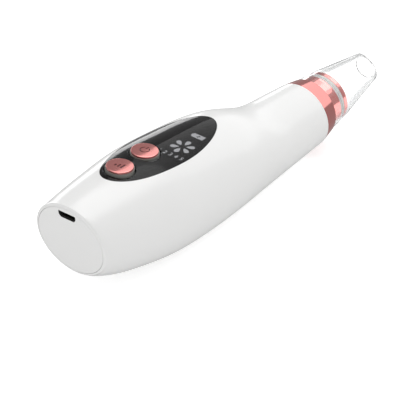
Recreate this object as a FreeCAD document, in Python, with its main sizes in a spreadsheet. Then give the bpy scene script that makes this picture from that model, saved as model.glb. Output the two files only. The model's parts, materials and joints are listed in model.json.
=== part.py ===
import FreeCAD, Part
import os
import re
import Sketcher
from math import cos, pi, radians, sin, tan

# Blackhead vacuum extractor. +X runs from the end cap to the nose, +Z is up with the
# display on top, and the origin lies under the middle of the body on the resting surface.
# Every position below is counted from the centre of the end cap's outer face, and seat()
# adds rear_x and axis_height, which put that centre in the part's own frame.

doc = FreeCAD.newDocument("blackhead_extractor")
sheet = doc.addObject("Spreadsheet::Sheet", "dims")

DRIVING = {
    "rear_x": -90.521, "axis_height": 26.154, "wall": 2.0,
    "cap_tilt": 13, "cap_radius": 14.96, "cap_gap": 0.09, "cap_thick": 2.0, "cap_bevel": 0.3,
    "cap_skirt": 13.8, "cap_skirt_inner": 12.8, "cap_depth": 4.2, "rim_round": 0.8,
    "nose_x": 141.7, "nose_z": -8.76, "nose_tilt": 4.5,
    "plug_radius": 11.2, "plug_length": 4.0, "collar_base": 13.4, "collar_top": 12.0,
    "collar_length": 6.8, "spigot_radius": 9.6, "groove_start": 12.3, "groove_end": 14.9,
    "groove_radius": 8.3, "spigot_end": 17.0, "filter_bore": 7.7, "filter_floor": 4.5,
    "port_radius": 1.0, "nipple_radius": 1.5, "nipple_end": 12.0,
    "seal_radius": 9.59, "sponge_thick": 4.0, "retainer_thick": 1.4, "retainer_hole": 0.9,
    "tip_gap": 0.06, "tip_flange_radius": 11.6, "tip_flange_end": 12.4, "tip_shoulder": 10.9,
    "tip_wall": 1.4, "tip_length": 42.5, "tip_mouth": 4.35, "tip_lip": 6.2, "tip_socket_end": 17.7,
    "window_mid": 51.2, "window_length": 64.0, "window_width": 23.72, "window_gap": 0.06,
    "window_proud": 0.2, "window_thick": 1.2, "glue": 0.2, "tray_wall": 0.8, "tray_slack": 0.08,
    "floor_top": 10.4, "mask_thick": 0.5, "guide_proud": 0.05,
    "levels_x": 58.4, "levels_pitch": 2.3, "levels_size": 1.2,
    "petals_x": 65.7, "petal_inner": 1.7, "petal_mid": 3.75, "petal_round": 0.85,
    "charge_x": 75.4, "charge_wide": 5.2, "charge_deep": 2.4,
    "mode_x": 27.8, "power_x": 42.6, "button_top": 19.75, "button_radius": 5.2,
    "button_thick": 1.0, "button_edge": 0.35, "sleeve_radius": 5.55, "sleeve_wall": 0.85,
    "sleeve_bottom": 13.4, "stem_radius": 1.5, "button_hole": 5.7, "engraving": 0.15,
    "board_start": 0.4, "board_end": 80.0, "board_top": 9.4, "board_thick": 1.6,
    "board_width": 18.0, "tail_width": 14.0, "tail_end": 9.0,
    "switch_size": 6.0, "switch_tall": 3.4, "plunger_radius": 1.65, "plunger_gap": 0.08,
    "plunger_top": 13.93, "plunger_bottom": 12.4, "plunger_bore": 1.0,
    "usb_front": -1.6, "usb_back": 3.9, "usb_wide": 7.6, "usb_narrow": 5.8, "usb_tall": 2.6,
    "usb_wall": 0.3, "usb_stand": 0.8, "usb_slack": 0.15, "tongue_wide": 5.2, "tongue_thick": 0.7,
    "screw_radius": 0.95, "screw_head": 1.6, "screw_head_tall": 0.45, "screw_depth": 4.0,
    "screw_rear_x": 20.5, "screw_front_x": 77.6, "screw_spread": 14.0,
    "deck_top": 6.8, "deck_thick": 1.6, "deck_start": 18.0, "deck_end": 84.0, "deck_width": 19.0,
    "rail_width": 2.0, "post_radius": 2.0, "frame_x": 7.4, "frame_thick": 1.5,
    "frame_radius": 11.6, "frame_hole": 9.2, "lug_x": 8.95, "lug_length": 6.0, "lug_tall": 5.0,
    "lug_inner": 10.4, "lug_y": 12.2, "lug_z": -3.0,
    "cell_radius": 7.0, "cell_length": 49.0, "cell_x": 9.7, "cell_z": -5.0, "cell_nub": 2.75,
    "clip_gap": 0.15, "clip_wall": 1.4, "clip_width": 3.0,
    "shaft_z": -8.3, "can_x": 63.5, "can_radius": 12.0, "can_wall": 0.8, "can_length": 25.0,
    "boss_radius": 3.0, "boss_length": 1.5, "bush_radius": 1.9, "bush_length": 2.2,
    "shaft_radius": 1.0, "shaft_gap": 0.03, "bell_length": 2.5, "bell_inset": 1.5,
    "magnet_outer": 11.1, "magnet_inner": 9.3, "magnet_length": 18.0,
    "core_radius": 8.8, "core_length": 16.0, "commutator_radius": 2.6, "saddle_wall": 1.5,
    "wheel_x": 90.2, "wheel_radius": 4.2, "wheel_thick": 3.0,
    "wobble_x": 97.0, "wobble_tilt": 6, "wobble_radius": 8.3, "wobble_thick": 1.2,
    "pin_radius": 0.75, "pin_gap": 0.05, "hub_radius": 2.0,
    "pump_x": 88.5, "pump_radius": 12.5, "pump_wall": 2.3, "pump_length": 12.5,
    "pump_floor": 1.4, "sheet_thick": 0.8, "stem_reach": 2.0, "cup_circle": 6.0,
    "valve_thick": 2.8, "chamber_radius": 2.9, "chamber_depth": 1.6, "cover_thick": 3.4,
    "nipple_drop": 2.1, "outlet_rise": 2.6, "nipple_reach": 5.0,
    "pump_screw_circle": 11.3, "pump_screw_radius": 0.7, "pump_screw_head": 1.2,
    "damper_wall": 0.8, "damper_length": 11.0,
    "hose_bore": 1.55, "hose_radius": 2.5, "lead_radius": 0.55, "lead_bend": 2.6,
}

# Round sections of the body from the end cap to the nose: distance along the body, height
# of the centre, radius, and how far the section's normal leans up from level.
STATIONS = {
    "heel": (0, 0, 16.0, 13), "tail": (11.0, -1.3, 18.3, 6), "grip": (27.8, -2.6, 20.75, 4),
    "hip": (43.8, -3.3, 22.2, 1), "belly": (59.6, -4.05, 22.1, 0), "chest": (76.5, -4.6, 21.2, 0),
    "throat": (94.8, -6.0, 18.95, 0), "neck": (111.5, -8.75, 15.8, 0),
    "brow": (128.5, -9.0, 14.3, 2.5), "nose": (141.7, -8.76, 13.4, 4.5),
}
for place, (along, up, radius, lean) in STATIONS.items():
    DRIVING.update({place + "_x": along, place + "_z": up, place + "_radius": radius,
                    place + "_lean": lean})

for row, (alias, number) in enumerate(DRIVING.items(), start=1):
    sheet.set("A%d" % row, alias)
    sheet.set("B%d" % row, str(number))
    sheet.setAlias("B%d" % row, alias)
doc.recompute()

UP = FreeCAD.Vector(0, 0, 1)
ACROSS = FreeCAD.Vector(0, 1, 0)
ALONG = FreeCAD.Vector(1, 0, 0)
pieces = []


def formula(text):
    """A cell formula written with bare aliases, such as "wall + 1"."""
    return re.sub(r"[a-z][a-z_]+", lambda word: "dims." + word.group(), str(text))


def value(text):
    return float(sheet.evalExpression(formula(text)))


def bind(item, formulas):
    for target, text in formulas.items():
        item.setExpression(target, formula(text))
    return item


def seat(item, x=0, y=0, z=0, axis=ACROSS, angle=0):
    """Turn an object about an axis, then tie its place to the sheet."""
    item.Placement = FreeCAD.Placement(FreeCAD.Vector(), FreeCAD.Rotation(axis, angle))
    return bind(item, {"Placement.Base.x": "rear_x + (%s)" % x, "Placement.Base.y": y,
                       "Placement.Base.z": "axis_height + (%s)" % z})


def keep(item, label):
    item.Label = label
    pieces.append(item)
    return item


def block(name, x, y, z, length, width, height):
    """A box with its low end at x and z, centred on y."""
    item = bind(doc.addObject("Part::Box", name),
                {"Length": length, "Width": width, "Height": height})
    return seat(item, x, "%s - (%s) / 2" % (y, width), z)


def rod(name, radius, length, x, y, z, along=False):
    """A cylinder standing up from its base, or lying along the body."""
    item = bind(doc.addObject("Part::Cylinder", name), {"Radius": radius, "Height": length})
    return seat(item, x, y, z, ACROSS, 90 if along else 0)


def peg(name, radius, length, x, y, z):
    """A cylinder in a piece's own space, for a cut that is placed as a whole."""
    item = bind(doc.addObject("Part::Cylinder", name), {"Radius": radius, "Height": length})
    return bind(item, {"Placement.Base.x": x, "Placement.Base.y": y, "Placement.Base.z": z})


def cut(name, base, *tools):
    for tool in tools:
        item = doc.addObject("Part::Cut", name)
        item.Base = base
        item.Tool = tool
        base = item
    return base


def fuse(name, *solids):
    item = doc.addObject("Part::MultiFuse", name)
    item.Shapes = list(solids)
    return item


def common(name, first, second):
    item = doc.addObject("Part::MultiCommon", name)
    item.Shapes = [first, second]
    return item


def group(name, members):
    item = doc.addObject("Part::Compound", name)
    item.Links = list(members)
    return item


def plane(body, role):
    return next(item for item in body.Origin.OriginFeatures if item.Role == role)


def outline(body, name, role, points):
    """A closed polygon whose corners are formulas measured from the sketch's origin."""
    sketch = body.newObject("Sketcher::SketchObject", name)
    sketch.AttachmentSupport = [(plane(body, role), "")]
    sketch.MapMode = "FlatFace"
    size = len(points)
    corners = [FreeCAD.Vector(value(right), value(rise)) for right, rise in points]
    for index in range(size):
        sketch.addGeometry(Part.LineSegment(corners[index], corners[(index + 1) % size]), False)
    for index in range(size):
        sketch.addConstraint(Sketcher.Constraint("Coincident", index, 2, (index + 1) % size, 1))
    for index, (right, rise) in enumerate(points):
        pin_corner(sketch, index, "DistanceX", -2, right, "across_%d" % index)
        pin_corner(sketch, index, "DistanceY", -1, rise, "rise_%d" % index)
    return sketch


def pin_corner(sketch, index, kind, zero_line, text, title):
    """Tie one corner of a sketch to a formula, or to the axis where it is nought."""
    if str(text) == "0":
        sketch.addConstraint(Sketcher.Constraint("PointOnObject", index, 1, zero_line))
        return
    number = sketch.addConstraint(Sketcher.Constraint(kind, -1, 1, index, 1, value(text)))
    sketch.renameConstraint(number, title)
    sketch.setExpression("Constraints." + title, formula(text))


def turned(name, points):
    """A body turned about its own Z from a half profile of (radius, height) corners."""
    body = doc.addObject("PartDesign::Body", name)
    sketch = outline(body, name + "_profile", "XZ_Plane", points)
    turn = body.newObject("PartDesign::Revolution", name + "_turn")
    turn.Profile = sketch
    turn.ReferenceAxis = (sketch, ["V_Axis"])
    turn.Angle = 360
    body.Tip = turn
    return body


def slab(name, points, thick):
    """A body padded up from a flat outline, one side with its mirror image across Y."""
    body = doc.addObject("PartDesign::Body", name)
    mirrored = [(right, "-(%s)" % side) for right, side in reversed(points)]
    sketch = outline(body, name + "_outline", "XY_Plane", points + mirrored)
    pad = body.newObject("PartDesign::Pad", name + "_pad")
    pad.Profile = sketch
    bind(pad, {"Length": thick})
    body.Tip = pad
    return body


def on_nose(item, reach=0):
    """Stand a turned piece on the nose's axis, a given reach past the body's end."""
    lean = radians(value("nose_tilt"))
    return seat(item, "nose_x + (%s) * %.6f" % (reach, cos(lean)), 0,
                "nose_z + (%s) * %.6f" % (reach, sin(lean)), ACROSS, 90 - value("nose_tilt"))


def on_shaft(item, x):
    return seat(item, x, 0, "shaft_z", ACROSS, 90)


def hull(name, inset):
    """A smooth solid through the body's sections, each shrunk by the same inset."""
    loft = doc.addObject("Part::Loft", name)
    rings = []
    for place in STATIONS:
        ring = doc.addObject("Part::Circle", "%s_%s" % (name, place))
        bind(ring, {"Radius": "%s_radius - (%s)" % (place, inset)})
        lean = 90 - value(place + "_lean")
        rings.append(seat(ring, place + "_x", 0, place + "_z", ACROSS, lean))
    loft.Sections = rings
    loft.Solid = True
    loft.Ruled = False
    return loft


def oval(name, inset, low, tall):
    """An upright oval column under the display, shrunk from the window by an inset."""
    ring = bind(doc.addObject("Part::Ellipse", name + "_ring"),
                {"MajorRadius": "window_length / 2 - (%s)" % inset,
                 "MinorRadius": "window_width / 2 - (%s)" % inset})
    seat(ring, "window_mid", 0, low)
    column = doc.addObject("Part::Extrusion", name)
    column.Base = ring
    column.DirMode = "Custom"
    column.Dir = UP
    column.Solid = True
    return bind(column, {"LengthFwd": tall})


def arc_path(points, bend):
    """Straight runs joined by tangent arcs, as one wire."""
    edges = []
    start = points[0]
    for before, corner, after in zip(points, points[1:], points[2:]):
        into = (corner - before).normalize()
        out = (after - corner).normalize()
        back = bend * tan(into.getAngle(out) / 2)
        entry = corner - into * back
        leave = corner + out * back
        centre_way = (out - into).normalize()
        middle = corner + centre_way * (bend / cos(into.getAngle(out) / 2) - bend)
        edges.append(Part.LineSegment(start, entry).toShape())
        edges.append(Part.Arc(entry, middle, leave).toShape())
        start = leave
    edges.append(Part.LineSegment(start, points[-1]).toShape())
    return Part.Wire(edges)


def tube(name, points, outer, inner, bend):
    """A round tube or wire along a path of points counted from the cap's centre."""
    base = FreeCAD.Vector(value("rear_x"), 0, value("axis_height"))
    corners = [base + FreeCAD.Vector(*[value(text) for text in point]) for point in points]
    path = arc_path(corners, bend)
    heading = corners[1] - corners[0]
    shape = sweep(path, corners[0], heading, outer)
    if inner:
        shape = shape.cut(sweep(path, corners[0], heading, inner))
    item = doc.addObject("Part::Feature", name)
    item.Shape = shape
    item.Placement = FreeCAD.Placement()
    print(name, "bend radius %.1f" % bend, "volume %.2f" % shape.Volume,
          "of %.2f" % (pi * (outer ** 2 - inner ** 2) * path.Length))
    return item


def sweep(path, start, heading, radius):
    ring = Part.Wire([Part.Circle(start, heading, radius).toShape()])
    return path.makePipeShell([ring], True, False)


def make_shell():
    skin = hull("outer_skin", 0)
    cavity = hull("inner_skin", "wall")
    recess = rod("cap_recess", "cap_radius + cap_gap", "2 * cap_thick", 0, 0, 0)
    lean = radians(value("cap_tilt"))
    seat(recess, "-cap_thick * %.6f" % cos(lean), 0, "-cap_thick * %.6f" % sin(lean),
         ACROSS, 90 - value("cap_tilt"))
    skirt_seat = rod("skirt_seat", "cap_skirt + 0.05", "cap_depth + 0.5", 0, 0, 0)
    seat(skirt_seat, 0, 0, 0, ACROSS, 90 - value("cap_tilt"))
    plug_seat = on_nose(rod("plug_seat", "plug_radius + 0.02", "plug_length + 2", 0, 0, 0),
                        "-plug_length - 1")
    window_hole = oval("window_hole", "-window_gap", "floor_top - 4", 20)
    hollow = cut("hollow_skin", skin, cavity, recess, skirt_seat, plug_seat, window_hole)
    lugs = common("screw_lugs", hull("lug_skin", "wall / 2"),
                  fuse("lug_blocks", *[lug_block(side) for side in (1, -1)]))
    joined = fuse("shell_with_lugs", hollow, lugs)
    holes = [rod("lug_hole", "screw_radius", "lug_length - 1", "lug_x", "%d * lug_y" % side,
                 "lug_z", along=True) for side in (1, -1)]
    drilled = cut("drilled_shell", joined, *holes)
    doc.recompute()
    rounded = doc.addObject("Part::Fillet", "rounded_shell")
    rounded.Base = drilled
    size = value("rim_round")
    rounded.Edges = [(index + 1, size, size) for index, edge in enumerate(drilled.Shape.Edges)
                     if outer_rim(edge)]
    return keep(rounded, "body_shell")


def lug_block(side):
    return block("lug_block", "lug_x", "%d * (lug_inner + 4)" % side, "lug_z - lug_tall / 2",
                 "lug_length", 8, "lug_tall")


def outer_rim(edge):
    """The rounded edge round the end cap."""
    ring = edge.Curve
    near = edge.CenterOfMass.x < value("rear_x + tail_x / 2")
    size = value("heel_radius")
    if hasattr(ring, "Radius"):
        return near and abs(ring.Radius - size) < 0.01
    return near and abs(edge.Length - 2 * pi * size) < 1


def make_end_cap():
    disc = turned("cap_disc", [
        (0, 0), ("cap_radius - cap_bevel", 0), ("cap_radius", "cap_bevel"),
        ("cap_radius", "cap_thick"), ("cap_skirt", "cap_thick"), ("cap_skirt", "cap_depth"),
        ("cap_skirt_inner", "cap_depth"), ("cap_skirt_inner", "cap_thick"), (0, "cap_thick")])
    seat(disc, 0, 0, 0, ACROSS, 90 - value("cap_tilt"))
    slot = usb_outline("cap_slot", "usb_slack", 12)
    seat(slot, "-6", 0, "board_top + usb_stand + usb_tall / 2", FreeCAD.Vector(1, 1, 1), 120)
    notch = block("skirt_notch", "cap_thick - 1.5", 0, "board_top - board_thick", 8,
                  "tail_width", 12)
    keep(cut("end_cap_cut", disc, slot, notch), "end_cap")


def usb_outline(name, grow, length):
    """The micro-USB outline, wide side up, padded along the body."""
    side = "usb_wide / 2 + (%s)" % grow
    narrow = "usb_narrow / 2 + (%s)" % grow
    high = "usb_tall / 2 + (%s)" % grow
    corners = [(side, high), (side, "0 - usb_tall / 20"), (narrow, "-(%s)" % high)]
    body = doc.addObject("PartDesign::Body", name)
    mirrored = [("-(%s)" % right, rise) for right, rise in reversed(corners)]
    sketch = outline(body, name + "_outline", "XY_Plane", corners + mirrored)
    pad = body.newObject("PartDesign::Pad", name + "_pad")
    pad.Profile = sketch
    bind(pad, {"Length": length})
    body.Tip = pad
    return body


def make_window():
    top = "floor_top - 4"
    column = oval("window_column", 0, top, 20)
    sheet_shell = cut("window_shell", hull("window_outer", "-window_proud"),
                      hull("window_inner", "window_thick - window_proud"))
    pane = common("window_pane", column, sheet_shell)
    holes = [rod("button_opening", "button_hole", 20, at, 0, 0) for at in ("mode_x", "power_x")]
    keep(cut("window_drilled", pane, *holes), "display_window")

    under = "window_thick - window_proud"
    ring = cut("glue_ring", oval("glue_outer", "tray_slack", top, 20),
               oval("glue_inner", "tray_wall", top, 20))
    film = cut("glue_film", hull("glue_top", under), hull("glue_bottom", under + " + glue"))
    keep(common("glue_common", ring, film), "window_adhesive")

    wall = cut("tray_ring", oval("tray_outer", "tray_slack", "floor_top - mask_thick", 12),
               oval("tray_inner", "tray_wall", "floor_top - mask_thick", 12))
    keep(common("tray_common", wall, hull("tray_top", under + " + glue")), "display_tray")


def petal_ring():
    """Six teardrops round a centre, points inward."""
    body = doc.addObject("PartDesign::Body", "petals")
    body.AllowCompound = True
    sketch = outline(body, "petal_outline", "XY_Plane", [
        ("petal_inner", 0), ("petal_mid - petal_round", "-petal_round * 0.8"),
        ("petal_mid", "-petal_round"), ("petal_mid + petal_round", "-petal_round * 0.4"),
        ("petal_mid + petal_round", "petal_round * 0.4"), ("petal_mid", "petal_round"),
        ("petal_mid - petal_round", "petal_round * 0.8")])
    pad = body.newObject("PartDesign::Pad", "petal_pad")
    pad.Profile = sketch
    bind(pad, {"Length": "mask_thick + guide_proud"})
    ring = body.newObject("PartDesign::PolarPattern", "petal_pattern")
    ring.Originals = [pad]
    ring.Axis = (sketch, ["N_Axis"])
    ring.Angle = 360
    ring.Occurrences = 6
    body.Tip = ring
    return seat(body, "petals_x", 0, "floor_top - mask_thick")


def make_display_floor():
    low = "floor_top - mask_thick"
    tall = "mask_thick + guide_proud"
    petals = keep(petal_ring(), "light_guide_petals")
    charge = fuse("charge_icon", block("charge_block", "charge_x - charge_deep / 2", 0, low,
                                       "charge_deep", "charge_wide", tall),
                  block("charge_nub", "charge_x - charge_deep / 4", "charge_wide / 2 + 0.2", low,
                        "charge_deep / 2", 0.4, tall))
    keep(charge, "light_guide_battery")
    levels = group("level_marks", [
        block("level_mark", "levels_x - levels_size / 2", "levels_pitch * %d" % step, low,
              "levels_size", "levels_size * 0.6", tall) for step in (-2, -1, 0, 1, 2)])
    keep(levels, "light_guide_levels")
    switches = [block("switch_window", "%s - switch_size / 2 - 0.15" % at, 0, "floor_top - 1",
                      "switch_size + 0.3", "switch_size + 0.3", 2) for at in ("mode_x", "power_x")]
    plate = oval("mask_plate", "tray_wall + 0.05", low, "mask_thick")
    keep(cut("mask_cut", plate, petals, charge, levels, *switches), "display_mask")


def make_button(name, at):
    """A plated cap on a grey sleeve, with the plunger of its switch below the stem."""
    cap = turned(name + "_cap_body", [
        (0, 0), ("button_radius", 0), ("button_radius", "button_thick - button_edge"),
        ("button_radius - button_edge", "button_thick"), (0, "button_thick")])
    seat(cap, at, 0, "button_top - button_thick")
    engraved = cut(name + "_engraved", cap, *symbol(name, at))
    keep(engraved, name + "_button_cap")

    inner = "sleeve_radius - sleeve_wall"
    foot = "plunger_top + 0.02 - sleeve_bottom"
    top = "button_top - button_thick - sleeve_bottom"
    sleeve = turned(name + "_sleeve_body", [
        (0, foot), ("stem_radius", foot), ("stem_radius", top + " - 2"), (inner, top + " - 2"),
        (inner, 0), ("sleeve_radius", 0), ("sleeve_radius", top), (0, top)])
    keep(seat(sleeve, at, 0, "sleeve_bottom"), name + "_button_sleeve")

    keep(rod(name + "_plunger", "plunger_radius", "plunger_top - plunger_bottom", at, 0,
             "plunger_bottom"), name + "_switch_plunger")
    case = block(name + "_switch_case", at + " - switch_size / 2", 0, "board_top",
                 "switch_size", "switch_size", "switch_tall")
    well = rod(name + "_switch_well", "plunger_radius + plunger_gap", 3, at, 0,
               "board_top + switch_tall - plunger_bore")
    keep(cut(name + "_switch_cut", case, well), name + "_switch")


def symbol(name, at):
    """The grooves of the power sign, or of three rising level bars."""
    floor = "button_top - engraving"
    if name == "power":
        ring = cut("power_ring", rod("power_groove", 1.95, 1, at, 0, floor),
                   rod("power_island", 1.5, 1, at, 0, floor),
                   block("power_gap", at + " + 0.9", 0, floor, 1.4, 1.5, 1))
        stroke = block("power_stroke", at + " + 0.6", 0, floor, 1.7, 0.45, 1)
        return [ring, stroke]
    return [block("level_groove", at + " - 1.5", "%.2f" % (1.3 - 1.3 * step), floor,
                  "%.2f" % (1.2 + 0.9 * step), 0.6, 1) for step in range(3)]


def screw_spots():
    for at in ("screw_rear_x", "screw_front_x"):
        for side in (1, -1):
            yield at, "%d * screw_spread / 2" % side


def make_board():
    outline_points = [("board_start", "tail_width / 2"), ("tail_end", "tail_width / 2"),
                      ("tail_end", "board_width / 2"), ("board_end", "board_width / 2")]
    plate = slab("board_plate", outline_points, "board_thick")
    seat(plate, 0, 0, "board_top - board_thick")
    holes = [rod("board_hole", "screw_radius", 4, at, side, "board_top - 3")
             for at, side in screw_spots()]
    keep(cut("board_cut", plate, *holes), "main_board")

    screws = []
    for at, side in screw_spots():
        head = rod("screw_head", "screw_head", "screw_head_tall", at, side, "board_top")
        shank = rod("screw_shank", "screw_radius", "screw_depth", at, side,
                    "board_top - screw_depth")
        screws.append(fuse("board_screw", head, shank))
    keep(group("board_screw_set", screws), "board_screws")

    keep(block("control_die", 11.5, 0, "board_top", 5, 5, 0.9), "control_chip")
    keep(block("charger_die", 5.0, 0, "board_top", 3.9, 4.9, 1.4), "charger_chip")
    spots = [(10.0, 4.6), (10.0, -4.6), (12.5, 5.6), (12.5, -5.6), (15.0, 5.6), (15.0, -5.6),
             (17.4, 4.4), (17.4, -4.4), (6.0, 4.6), (6.0, -4.6)]
    keep(group("small_parts", [block("small_part", x, y, "board_top", 1.6, 0.8, 0.6)
                               for x, y in spots]), "small_components")
    lamps = [("levels_x", "levels_pitch * %d" % step) for step in (-2, -1, 0, 1, 2)]
    for step in range(6):
        turn = radians(60 * step)
        lamps.append(("petals_x + petal_mid * %.4f" % cos(turn), "petal_mid * %.4f" % sin(turn)))
    lamps += [("charge_x", "charge_wide / 3 * %d" % step) for step in (-1, 0, 1)]
    keep(group("lamps", [block("lamp", x + " - 0.5", y, "board_top", 1.0, 0.6, 0.45)
                         for x, y in lamps]), "indicator_leds")

    ring = FreeCAD.Vector(1, 1, 1)
    middle = "board_top + usb_stand + usb_tall / 2"
    outer = seat(usb_outline("usb_outer", 0, "usb_back - usb_front"), "usb_front", 0, middle,
                 ring, 120)
    inner = seat(usb_outline("usb_inner", "-usb_wall", "usb_back - usb_front"),
                 "usb_front - usb_wall", 0, middle, ring, 120)
    legs = [block("usb_leg", x, y, "board_top", 0.8, 0.5, "usb_stand + usb_wall / 2")
            for x in (0.8, 2.9) for y in (2.4, -2.4)]
    keep(cut("usb_cut", fuse("usb_on_legs", outer, *legs), inner), "usb_shell")
    keep(block("usb_tongue_block", "usb_front + 0.9", 0, middle + " + 0.05",
               "usb_back - usb_front - 0.9 - usb_wall", "tongue_wide", "tongue_thick"),
         "usb_tongue")


def ring_clip(name, x, z, bore, wall, width, mouth):
    """A ring round a lying cylinder, open below the height of its mouth."""
    outer = rod(name + "_outer", "%s + %s" % (bore, wall), width, x, 0, z, along=True)
    inner = rod(name + "_bore", bore, width, x, 0, z, along=True)
    gap = block(name + "_mouth", x, 0, "%s - 20" % mouth, width, 40, 20)
    return cut(name, outer, inner, gap)


def make_chassis():
    deck = block("deck", "deck_start", 0, "deck_top - deck_thick", "deck_end - deck_start",
                 "deck_width", "deck_thick")
    parts = [deck]
    rail_y = "deck_width / 2 - rail_width / 2"
    for side in (1, -1):
        parts.append(block("rail", "frame_x", "%d * (%s)" % (side, rail_y),
                           "deck_top - deck_thick", "deck_start - frame_x", "rail_width",
                           "deck_thick"))
        parts.append(block("frame_ear", "frame_x", "%d * lug_y" % side, "lug_z - lug_tall / 2",
                           "frame_thick", 2.8, "lug_tall"))
    for at, side in screw_spots():
        parts.append(rod("post", "post_radius", "board_top - board_thick - deck_top", at, side,
                         "deck_top"))
    disc = rod("frame_disc", "frame_radius", "frame_thick", "frame_x", 0, 0, along=True)
    opening = rod("frame_opening", "frame_hole", 4, "frame_x - 1", 0, 0, along=True)
    board_room = block("board_room", "frame_x - 1", 0, "deck_top", 4, 30, 10)
    parts.append(cut("rear_frame", disc, opening, board_room))
    for x in (20, 36, 52):
        parts.append(ring_clip("cell_clip", x, "cell_z", "cell_radius + clip_gap", "clip_wall",
                               "clip_width", "cell_z - 4"))
        parts.append(block("clip_web", x, 0, "cell_z + cell_radius + clip_gap + clip_wall / 2",
                           "clip_width", 8,
                           "deck_top - deck_thick - cell_z - cell_radius - clip_gap - clip_wall / 2"))
    for x in ("can_x + 0.8", "can_x + can_length - clip_width - 2.5"):
        parts.append(ring_clip("saddle", x, "shaft_z", "can_radius + 0.05", "saddle_wall",
                               "clip_width", "shaft_z - 5"))
    holes = [rod("post_hole", "screw_radius", 6, at, side, "board_top - screw_depth")
             for at, side in screw_spots()]
    holes += [rod("ear_hole", "screw_radius", 4, "frame_x - 1", "%d * lug_y" % side, "lug_z",
                  along=True) for side in (1, -1)]
    holes.append(block("lead_slot", "can_x - bell_length - 3", 0, 4, 3.4, 12, 4))
    holes.append(rod("saddle_relief", "can_radius + 0.05", "can_length", "can_x", 0, "shaft_z",
                     along=True))
    keep(cut("chassis_cut", fuse("chassis_solid", *parts), *holes), "chassis")

    screws = []
    for side in (1, -1):
        head = rod("ear_screw_head", 1.7, 1.0, "frame_x - 1", "%d * lug_y" % side, "lug_z",
                   along=True)
        shank = rod("ear_screw_shank", "screw_radius", "lug_length + frame_thick - 1",
                    "frame_x", "%d * lug_y" % side, "lug_z", along=True)
        screws.append(fuse("ear_screw", head, shank))
    keep(group("ear_screws", screws), "chassis_screws")


def make_battery():
    cell = turned("cell_body", [
        (0, 0), ("cell_radius - 0.5", 0), ("cell_radius", 0.5), ("cell_radius", "cell_length - 0.6"),
        ("cell_radius - 0.6", "cell_length"), ("cell_nub", "cell_length"),
        ("cell_nub", "cell_length + 0.9"), (0, "cell_length + 0.9")])
    keep(seat(cell, "cell_x", 0, "cell_z", ACROSS, 90), "battery_cell")
    tabs = [block("cell_tab", "cell_x - 0.3", "%.1f" % (side * 1.8), "cell_z - 1.5", 0.3, 2.4, 4)
            for side in (1, -1)]
    keep(group("cell_tabs", tabs), "battery_tabs")
    keep(block("socket", 12.0, 0, "board_top - board_thick - 3.6", 5.5, 7.0, 3.6),
         "battery_socket")
    for side, colour in ((1, "red"), (-1, "black")):
        y = "%.1f" % (side * 1.8)
        rear = "cell_x - 0.3 - lead_radius"
        keep(tube("battery_lead_" + colour,
                  [(rear, y, "cell_z + 2.2"), (rear, y, "board_top - board_thick - 1.9"),
                   (12.0, y, "board_top - board_thick - 1.9")],
                  value("lead_radius"), 0, value("lead_bend")), "battery_lead_" + colour)


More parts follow.
